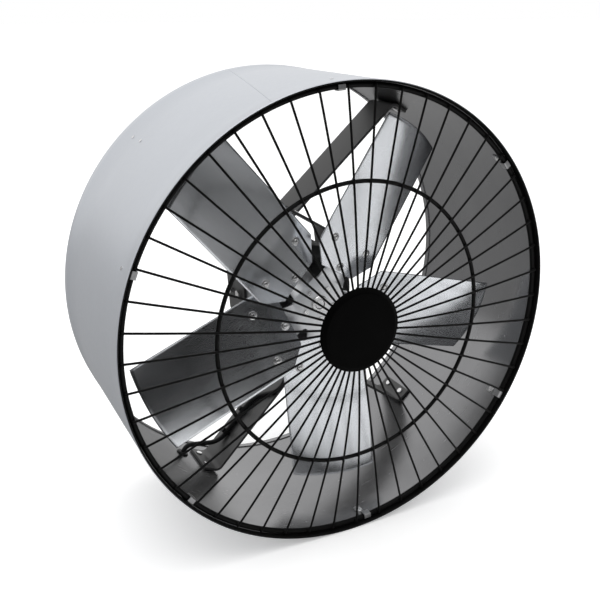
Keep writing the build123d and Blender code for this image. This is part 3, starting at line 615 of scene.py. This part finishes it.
class FAN_OT_guard(bpy.types.Operator):
    """Two wire rings, the radial wires bowed towards the front, and the small welds between them"""

    bl_idname = "fan.guard"
    bl_label = "Wire guard"

    def execute(self, context):
        """A wire is a circle carried along its arc, on the arc's normal and the turning direction."""
        guard = context.scene.fan_guard
        look = finishes()["guard"]
        outer = wire_ring("guard_outer_wire", guard.outer_ring, guard.outer_ring_depth, guard.outer_ring_wire)
        dress(outer, "frame", ["guard_ring_outer"], "guard_wire", look)
        middle = wire_ring(
            "guard_middle_wire", guard.middle_ring, guard.middle_ring_depth, guard.middle_ring_wire, 240, 16
        )
        dress(middle, "frame", ["guard_ring_middle"], "guard_wire", look)
        angle = guard.first_wire + np.arange(guard.wires) * 2 * math.pi / guard.wires
        around, count, bevel = 10, 30, guard.wire / 4
        path = guard_arc(guard, count)
        along = np.gradient(path, axis=0)
        along /= np.linalg.norm(along, axis=1)[:, None]
        near_start, near_end = path[:1] + along[:1] * bevel, path[-1:] - along[-1:] * bevel
        path = np.concatenate([path[:1], near_start, path[1:-1], near_end, path[-1:]])
        along = np.concatenate([along[:1], along[:1], along[1:-1], along[-1:], along[-1:]])
        path = np.concatenate([path[:1], path, path[-1:]])
        along = np.concatenate([along[:1], along, along[-1:]])
        size = np.full(len(path), guard.wire)
        size[[0, -1]] = 0
        size[[1, -2]] = 0.75 * guard.wire
        t = np.linspace(0, 2 * math.pi, around, endpoint=False)
        lift = size[:, None] * np.cos(t)[None]
        sideways = size[:, None] * np.sin(t)[None]
        radius = path[:, None, 0] - along[:, None, 1] * lift
        depth = path[:, None, 1] + along[:, None, 0] * lift
        a = angle[:, None, None]
        points = about_axis(radius[None], depth[None], a) + sideways[None, ..., None] * turning(a)
        faces = copied_faces(grid_faces(len(path), around), len(path) * around, guard.wires)
        dress(closed_mesh("guard_radial_wires", points, faces), "frame", ["guard_spokes"], "guard_wire", look)
        self.welds(guard, angle, look)
        return {"FINISHED"}

    def welds(self, guard, angle, look):
        """A weld is an egg: half axes along the radius, the depth and sideways, swept over two angles.

        The welds lie halfway between wire and ring, and a little to the front.
        """
        crossing = guard_arc(guard, 200)
        middle = crossing[np.abs(crossing[:, 0] - guard.middle_ring).argmin()]
        outer = crossing[0]
        places = np.array([
            (middle[0], (middle[1] + guard.middle_ring_depth) / 2 - 0.0001),
            (outer[0] - 0.0002, (outer[1] + guard.outer_ring_depth) / 2 - 0.0004),
        ])
        halves = np.array([(0.0023, 0.0026, 0.0019), (0.0026, 0.0030, 0.0021)])
        down, over = np.linspace(0, math.pi, 7), np.linspace(0, 2 * math.pi, 10, endpoint=False)
        u, v = np.meshgrid(down, over, indexing="ij")
        egg = np.stack([np.sin(u) * np.cos(v), np.cos(u), np.sin(u) * np.sin(v)], -1)
        a = angle[None, :, None, None]
        radius = places[:, None, None, None, 0] + halves[:, None, None, None, 0] * egg[..., 0]
        depth = places[:, None, None, None, 1] + halves[:, None, None, None, 1] * egg[..., 1]
        sideways = (halves[:, None, None, None, 2] * egg[..., 2])[..., None]
        points = about_axis(radius, depth, a) + sideways * turning(a)
        faces = copied_faces(grid_faces(*u.shape), u.size, 2 * guard.wires)
        dress(closed_mesh("guard_weld_beads", points, faces), "frame", [], "guard_wire", look)


class FAN_OT_cap(bpy.types.Operator):
    """Moulded centre cap: a flat face with a sloped rim, left bare"""

    bl_idname = "fan.cap"
    bl_label = "Centre cap"

    def execute(self, context):
        """A softened section is turned about the axis, from the face's middle to the stud's, behind it."""
        g = context.scene.fan_guard
        foot = g.cap_front + 0.65 * (g.cap_back - g.cap_front)
        outer, inner, half_sheet = g.cap_radius, g.cap_radius - g.cap_sheet, g.cap_sheet / 2
        back = g.cap_front + g.cap_sheet
        section = np.array([
            (0, g.cap_front), (outer - g.cap_bevel, g.cap_front), (outer, foot),
            (outer, g.cap_back), (inner, g.cap_back), (inner, foot + half_sheet),
            (outer - g.cap_bevel - half_sheet, back), (g.stud, back), (g.stud, g.stud_back), (0, g.stud_back),
        ])
        reach = np.array([0, 0.0011, 0.0009, 0.0003, 0.0003, 0.0005, 0.0005, 0.0005, 0.0003, 0]) + 1e-5
        obj = turned_piece("centre_cap", softened(section, reach, 7, closed=False), 240, sharp=60.0)
        dress(obj, "frame", ["guard_cap"], "cap_plastic", finishes()["cap"])
        return {"FINISHED"}


# Rotor
def blade_axes(angle, pitch):
    """Outward, across and forward directions of a pitched sheet at this angle."""
    c, s = np.cos(angle), np.sin(angle)
    outward = np.array([c, 0, s])
    across = np.array([-s * math.cos(pitch), -math.sin(pitch), c * math.cos(pitch)])
    return outward, across, np.cross(outward, across)


def blade_surface(rotor, angle, columns):
    """The middle surface of a blade, from root to tip and over its width.

    The root stretch is a flat plate in the root pitch, from the tapered root outline to the flat end.
    Beyond it, straight lines run from that flat section to a cambered arc just beyond the tip, in the tip
    pitch; each stops where it meets the tip cylinder, which is the root of a quadratic.
    """
    half = rotor.half_width / math.cos(rotor.pitch)
    root_half = rotor.root_half_width / math.cos(rotor.pitch)
    outward, across = blade_axes(angle, rotor.pitch)[:2]
    tip_across, tip_forward = blade_axes(angle, rotor.tip_pitch)[1:]
    v = half * columns
    start = np.interp(np.abs(v), [root_half, half], [rotor.root, rotor.shoulder])
    origin = np.array([0, FRONT_RIM + rotor.depth, 0])
    base = origin + v[:, None] * across
    ends = base + rotor.flat_end * outward
    bow = (half**2 + rotor.camber**2) / (2 * rotor.camber)
    spread = columns * math.asin(half / bow)
    beyond = origin - (0, rotor.advance, 0) + (rotor.tip + rotor.tip_beyond) * outward
    sideways = (bow * np.sin(spread))[:, None] * tip_across
    rise = (bow * np.cos(spread) - bow + rotor.camber)[:, None] * tip_forward
    run = beyond + sideways + rise - ends
    flat, slope = ends[:, [0, 2]], run[:, [0, 2]]
    a, b, c = (slope**2).sum(1), (flat * slope).sum(1), (flat**2).sum(1) - rotor.tip**2
    reach = (-b + np.sqrt(b**2 - a * c)) / a
    return base, outward, start, ends, run, reach


class FAN_OT_blades(bpy.types.Operator):
    """Five bright sheet blades, flat where they are bolted and turned up towards the tip"""

    bl_idname = "fan.blades"
    bl_label = "Blades"

    def execute(self, context):
        """Both faces are one grid, along the blade and round its width, with rounded edges."""
        rotor = context.scene.fan_rotor
        look = finishes()["blade"]
        half = rotor.half_width / math.cos(rotor.pitch)
        edge, part = rotor.edge, 0.3
        kink = rotor.root_half_width / rotor.half_width
        limit = 1 - edge / half
        flank = np.linspace(-limit, -kink, 10)
        across = np.unique(np.concatenate([flank, np.linspace(-kink, kink, 18), -flank]))
        side = np.array([1 - part * edge / half, 1, 1 - part * edge / half])
        columns = np.concatenate([across, side, across[::-1], -side])
        n = len(across)
        lift = 0.5 * rotor.sheet * np.concatenate([np.ones(n), [0.6, 0, -0.6], -np.ones(n), [-0.6, 0, 0.6]])
        flat_share = np.concatenate([np.zeros(3), np.linspace(0.02, 1, 12)])
        swell = np.concatenate([[0, part], np.ones(len(flat_share) - 2)])
        for index in range(rotor.blades):
            angle = rotor.first_blade + index * 2 * math.pi / rotor.blades
            forward = blade_axes(angle, rotor.pitch)[2]
            tip_forward = blade_axes(angle, rotor.tip_pitch)[2]
            base, outward, start, ends, run, reach = blade_surface(rotor, angle, columns)
            inset = edge / np.linalg.norm(run, axis=1)
            u = start[None] + flat_share[:, None] * (rotor.flat_end - start)[None]
            u[1] += part * edge
            u[2] += edge
            flat = base[None] + u[..., None] * outward + (lift[None] * swell[:, None])[..., None] * forward
            flat[1] -= 0.4 * lift[:, None] * forward
            flat[0] = base + start[:, None] * outward
            inner = np.linspace(0, 1, 35)[1:-1, None] * np.maximum(reach - inset, 0)
            share = np.concatenate([inner, [reach - inset, reach - part * inset, reach]])
            fade = np.concatenate([np.ones(len(share) - 2), [0.6, 0]])
            blend = share[..., None]
            turned = (1 - blend) * forward + blend * tip_forward
            outer = ends[None] + blend * run[None] + (lift[None] * fade[:, None])[..., None] * turned
            points = np.concatenate([flat, outer])
            rows = points.shape[:2]
            sheet = np.stack([
                np.concatenate([u, rotor.flat_end + share * (rotor.tip + rotor.tip_beyond - rotor.flat_end)]),
                np.broadcast_to(half * columns, rows) + index * 0.37,
                np.full(rows, float(index)),
            ], -1)
            obj = closed_mesh(f"blade_sheet_{index + 1}", points, grid_faces(*rows), sheet=sheet, sharp=50.0)
            dress(obj, "impeller", [f"blade_{index + 1}"], "blade_sheet", look)
        return {"FINISHED"}


class FAN_OT_bolts(bpy.types.Operator):
    """Domed bolts that hold the blades on the spider, three to a blade"""

    bl_idname = "fan.bolts"
    bl_label = "Blade bolts"

    def execute(self, context):
        """One section is turned about a bolt's own line, then carried to every bolt by its blade's axes.

        The head's radius and height are shares of the bolt's radius: a dome down to a thin flange.
        """
        rotor = context.scene.fan_rotor
        r, reach, bevel = rotor.bolt, rotor.bolt_reach, rotor.bolt / 5
        head = r * np.array([
            (0, 1.22), (0.5, 1.19), (0.95, 1.05), (1.25, 0.82), (1.42, 0.5),
            (1.46, 0.36), (1.6, 0.33), (1.92, 0.26), (2.02, 0.13), (2.0, 0.0),
        ])
        shank = np.array([(r, 0.0), (r, bevel - reach), (r - bevel, -reach), (0, -reach)])
        section = np.concatenate([head, shank])
        t = np.linspace(0, 2 * math.pi, 24, endpoint=False)[:, None]
        out, up = section[None, :, 0], section[None, :, 1]
        local = np.stack(np.broadcast_arrays(out * np.cos(t), out * np.sin(t), up), -1)
        angle = rotor.first_blade + np.arange(rotor.blades) * 2 * math.pi / rotor.blades
        axes = np.stack([np.stack(blade_axes(a, rotor.pitch)) for a in angle])
        places = np.array([
            (rotor.inner_bolt, 0, rotor.sheet / 2),
            (rotor.outer_bolt, -rotor.outer_bolt_across, rotor.sheet / 2),
            (rotor.outer_bolt, rotor.outer_bolt_across, rotor.sheet / 2),
        ])
        centres = np.einsum("pk,bkx->bpx", places, axes) + (0, FRONT_RIM + rotor.depth, 0)
        points = centres[:, :, None, None, :] + np.einsum("tsk,bkx->btsx", local, axes)[:, None]
        one = grid_faces(len(t), len(section), wrap_rows=True, wrap_columns=False)
        faces = copied_faces(one, len(t) * len(section), len(places) * rotor.blades)
        obj = closed_mesh("blade_root_bolts", points, faces, sharp=55.0)
        dress(obj, "impeller", ["blade_bolts"], "steel_screw", finishes()["bright"])
        return {"FINISHED"}


# Motor
def cover_section(motor, outer, way):
    """Section of one end cover, from the shaft hole out to its lip and back along the inside."""
    lip = outer + way * (motor.bell - 0.00005)
    seat_front = outer + way * motor.bearing_cover
    seat_end = outer + way * (motor.bearing_cover + motor.bearing)
    r, w, seat = motor.radius, motor.wall, motor.bearing_seat
    ring, sunk = (0.024, 0.0265, 0.037, 0.0385), outer + way * 0.0022
    boss, back, middle = seat + 0.004, outer + way * (w + 0.0005), motor.bell / 2
    corners = np.array([
        (motor.shaft_hole, outer), (ring[0], outer), (ring[1], sunk), (ring[2], sunk), (ring[3], outer),
        (r - motor.shoulder, outer), (r, outer + way * middle), (r, lip), (r - w, lip),
        (r - w, outer + way * (middle + w / 2)), (r - motor.shoulder - w / 2, back), (boss, back),
        (boss, seat_end), (seat, seat_end), (seat, seat_front), (motor.shaft_hole, seat_front),
    ])
    fine, soft, wide = 0.0003, 0.001, 0.004
    reach = np.array([
        0.0004, soft, soft, soft, soft, wide, wide, 0.0004,
        0.0004, 0.002, soft, soft, fine, fine, fine, fine,
    ])
    return softened(corners, reach, 6)


class FAN_OT_motor(bpy.types.Operator):
    """Motor body and its two end covers, with softened corners and a shallow ring round each bearing"""

    bl_idname = "fan.motor"
    bl_label = "Motor"

    def execute(self, context):
        """Each section is turned about the fan axis. The body carries two shallow grooves at each end.

        A groove's depth falls off as exp(-(distance / width)^2).
        """
        motor = context.scene.fan_motor
        looks = finishes()
        rear = motor.front + motor.depth
        cover = turned_piece("motor_front_cover", cover_section(motor, motor.front, 1))
        dress(cover, "frame", ["motor_bell_front"], "motor_paint", looks["motor_cover"])
        cover = turned_piece("motor_rear_cover", cover_section(motor, rear, -1))
        dress(cover, "frame", ["motor_bell_rear"], "motor_aluminium", looks["motor_body"])
        start, end = motor.front + motor.bell, rear - motor.bell
        bevel, inner = 0.0006, motor.radius - motor.wall
        depth = np.linspace(start + bevel, end - bevel, 160)
        near = np.minimum(depth - start, end - depth)
        hollows = [np.exp(-(((near - place) / motor.groove_width) ** 2)) for place in (0.0045, 0.0075)]
        outer = np.stack([motor.radius - motor.groove * sum(hollows), depth], -1)
        edges = [(motor.radius - bevel, end), (inner, end), (inner, start), (motor.radius - bevel, start)]
        body = turned_piece("motor_body_tube", np.concatenate([outer, edges]))
        dress(body, "frame", ["motor_shell"], "motor_paint", looks["motor_body"])
        return {"FINISHED"}


class FAN_OT_carried(bpy.types.Operator):
    """Finishes for the solids that show as they are, from the spider and straps to the motor's insides"""

    bl_idname = "fan.carried"
    bl_label = "Carried solids"

    def execute(self, context):
        """Each shown node gets the finish of its own material in its object's slot."""
        looks = finishes()
        chosen = {
            "spider": ["hub_spider"],
            "clip": ["guard_clips"],
            "bright": [
                "clip_rivets", "strap_rivets", "hub_boss", "hub_rivets", "blade_nuts", "strap_bolts",
                "guard_disc",
            ],
            "strap": ["support_strap_left", "support_strap_right"],
            "bearing": ["bearing_front", "bearing_rear", "motor_shaft"],
            "core": ["stator_core", "rotor_core"],
            "copper": ["stator_windings"],
            "rubber": ["motor_lead", "cable_ties", "cable_grommet"],
            "dark": ["cap_screw", "set_screw", "motor_tie_screws"],
        }
        for look, names in chosen.items():
            for name in names:
                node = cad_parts[name]
                if not node.material_slots:
                    node.data.materials.append(looks[look])
                for slot in node.material_slots:
                    slot.link = "OBJECT"
                    slot.material = looks[look]
        return {"FINISHED"}


# Studio
class FAN_OT_studio(bpy.types.Operator):
    """White floor, bright room that is dark towards the front, two soft boxes and the camera"""

    bl_idname = "fan.studio"
    bl_label = "Studio"

    def execute(self, context):
        """Sets the floor, the room's light, the two boxes and the camera, and plain display of colours."""
        studio = context.scene.fan_studio
        self.floor(studio)
        self.room(context, studio)
        self.box("overhead_box", (-0.35, -0.25, 2.6), (0, 0, 0), 2.6, studio.overhead)
        self.box("side_box", (-2.6, 0.3, 1.2), (0, 0, 0), 1.6, studio.side)
        lens = bpy.data.cameras.new("photo_camera")
        lens.lens, lens.sensor_width, lens.clip_end = studio.lens, 36.0, 200.0
        camera = bpy.data.objects.new("photo_camera", lens)
        camera.location = studio.eye
        camera.rotation_euler = Vector(studio.look).to_track_quat("-Z", "Y").to_euler()
        context.scene.collection.objects.link(camera)
        context.scene.camera = camera
        context.scene.view_settings.view_transform = "Standard"
        return {"FINISHED"}

    def floor(self, studio):
        """A flat square under the drum, with a faint unevenness in its white."""
        size, height = 30.0, CAD_BOX[0].z - 0.0003
        mesh = bpy.data.meshes.new("floor")
        corners = [(x * size, y * size, height) for x, y in ((-1, -1), (1, -1), (1, 1), (-1, 1))]
        mesh.from_pydata(corners, [], [(0, 1, 2, 3)])
        obj = bpy.data.objects.new("floor", mesh)
        bpy.context.scene.collection.objects.link(obj)
        obj.data.materials.append(self.white(studio))

    def white(self, studio):
        """White for the camera, and dull for the fan, so that the drum darkens towards the floor.

        It is bright for the fan only in front and to the right, where the right and lower blades mirror it.
        """
        finish, tree, shader = new_finish("white_floor")
        place = tree.nodes.new("ShaderNodeTexCoord")
        tone = np.array(studio.floor)
        tint(tree, noise(tree, place.outputs["Object"], even(2)), shader, tone * 0.99, tone)
        shader.inputs["Roughness"].default_value = 0.8
        shader.inputs["Emission Color"].default_value = (1, 1, 1, 1)
        shader.inputs["Emission Strength"].default_value = studio.lift
        split = tree.nodes.new("ShaderNodeSeparateXYZ")
        tree.links.new(place.outputs["Object"], split.inputs["Vector"])
        right = span(tree, split.outputs["X"], 0.0, 1.0, -0.30, -0.05)
        front = span(tree, split.outputs["Y"], studio.apron - studio.bounce, 0.0, -0.20, -0.08)
        near = span(tree, split.outputs["Y"], 0.0, 1.0, -1.4, -0.9)
        ahead = tree.nodes.new("ShaderNodeMath")
        ahead.operation = "MULTIPLY"
        tree.links.new(front, ahead.inputs[0])
        tree.links.new(near, ahead.inputs[1])
        patch = tree.nodes.new("ShaderNodeMath")
        patch.operation = "MULTIPLY_ADD"
        tree.links.new(right, patch.inputs[0])
        tree.links.new(ahead.outputs["Value"], patch.inputs[1])
        patch.inputs[2].default_value = studio.bounce
        dull = tree.nodes.new("ShaderNodeBsdfDiffuse")
        tree.links.new(patch.outputs["Value"], dull.inputs["Color"])
        path = tree.nodes.new("ShaderNodeLightPath")
        mix = tree.nodes.new("ShaderNodeMixShader")
        output = [node for node in tree.nodes if node.type == "OUTPUT_MATERIAL"][0]
        tree.links.new(path.outputs["Is Camera Ray"], mix.inputs[0])
        tree.links.new(dull.outputs["BSDF"], mix.inputs[1])
        tree.links.new(shader.outputs["BSDF"], mix.inputs[2])
        tree.links.new(mix.outputs["Shader"], output.inputs["Surface"])
        return finish

    def room(self, context, studio):
        """Room light by direction: bright all round, and dark low down towards the front.

        The camera sees the bright room everywhere.
        """
        world = bpy.data.worlds.new("room")
        world.use_nodes = True
        tree = world.node_tree
        tree.nodes.clear()
        output = tree.nodes.new("ShaderNodeOutputWorld")
        light = tree.nodes.new("ShaderNodeBackground")
        tree.links.new(light.outputs["Background"], output.inputs["Surface"])
        place = tree.nodes.new("ShaderNodeTexCoord")
        split = tree.nodes.new("ShaderNodeSeparateXYZ")
        tree.links.new(place.outputs["Generated"], split.inputs["Vector"])
        ahead = span(tree, split.outputs["Y"], 1.0, 0.0, -0.75, -0.05)
        low = span(tree, split.outputs["Z"], 1.0, 0.0, 0.38, 0.85)
        both = tree.nodes.new("ShaderNodeMath")
        both.operation = "MULTIPLY"
        tree.links.new(ahead, both.inputs[0])
        tree.links.new(low, both.inputs[1])
        mix = tree.nodes.new("ShaderNodeMix")
        mix.data_type = "RGBA"
        colours = [s for s in mix.inputs if s.type == "RGBA"]
        colours[0].default_value = (studio.sky, studio.sky, studio.sky, 1)
        colours[1].default_value = (studio.front, studio.front, studio.front, 1)
        path = tree.nodes.new("ShaderNodeLightPath")
        unseen = tree.nodes.new("ShaderNodeMath")
        unseen.operation = "SUBTRACT"
        unseen.use_clamp = True
        tree.links.new(both.outputs["Value"], unseen.inputs[0])
        tree.links.new(path.outputs["Is Camera Ray"], unseen.inputs[1])
        tree.links.new(unseen.outputs["Value"], mix.inputs["Factor"])
        tree.links.new([s for s in mix.outputs if s.type == "RGBA"][0], light.inputs["Color"])
        context.scene.world = world

    def box(self, name, place, target, size, power):
        """A square soft light of this size, turned to a target."""
        lamp = bpy.data.lights.new(name, "AREA")
        lamp.shape, lamp.size, lamp.energy = "SQUARE", size, power
        obj = bpy.data.objects.new(name, lamp)
        obj.location = place
        obj.rotation_euler = (Vector(target) - Vector(place)).to_track_quat("-Z", "Y").to_euler()
        bpy.context.scene.collection.objects.link(obj)


OPERATORS = (
    FAN_OT_drum, FAN_OT_guard, FAN_OT_cap, FAN_OT_blades, FAN_OT_bolts, FAN_OT_motor, FAN_OT_carried,
    FAN_OT_studio,
)


class FAN_PT_panel(bpy.types.Panel):
    """Sizes and colours of the fan, and the steps that make its pieces"""

    bl_idname = "FAN_PT_panel"
    bl_label = "Exhaust fan"
    bl_space_type = "VIEW_3D"
    bl_region_type = "UI"
    bl_category = "Fan"

    def draw(self, context):
        """Each group's fields in a box of its own, then a button for each step."""
        for attribute, group in GROUPS.items():
            box = self.layout.box()
            box.label(text=group.__doc__)
            for field in group.__annotations__:
                box.prop(getattr(context.scene, attribute), field)
        for step in OPERATORS:
            self.layout.operator(step.bl_idname)


def register():
    """Adds the groups to the scene, then the operators and the panel."""
    for group in GROUPS.values():
        bpy.utils.register_class(group)
    for attribute, group in GROUPS.items():
        setattr(bpy.types.Scene, attribute, PointerProperty(type=group))
    for step in (*OPERATORS, FAN_PT_panel):
        bpy.utils.register_class(step)


def unregister():
    """Takes away what register added, in the opposite order."""
    for step in reversed((*OPERATORS, FAN_PT_panel)):
        bpy.utils.unregister_class(step)
    for attribute in GROUPS:
        delattr(bpy.types.Scene, attribute)
    for group in reversed(list(GROUPS.values())):
        bpy.utils.unregister_class(group)


def main():
    """Registers the groups, operators and panel, then makes every piece in order."""
    register()
    for step in OPERATORS:
        group, name = step.bl_idname.split(".")
        if getattr(getattr(bpy.ops, group), name)() != {"FINISHED"}:
            raise RuntimeError(step.bl_idname + " did not finish")


if __name__ == "__main__":
    main()
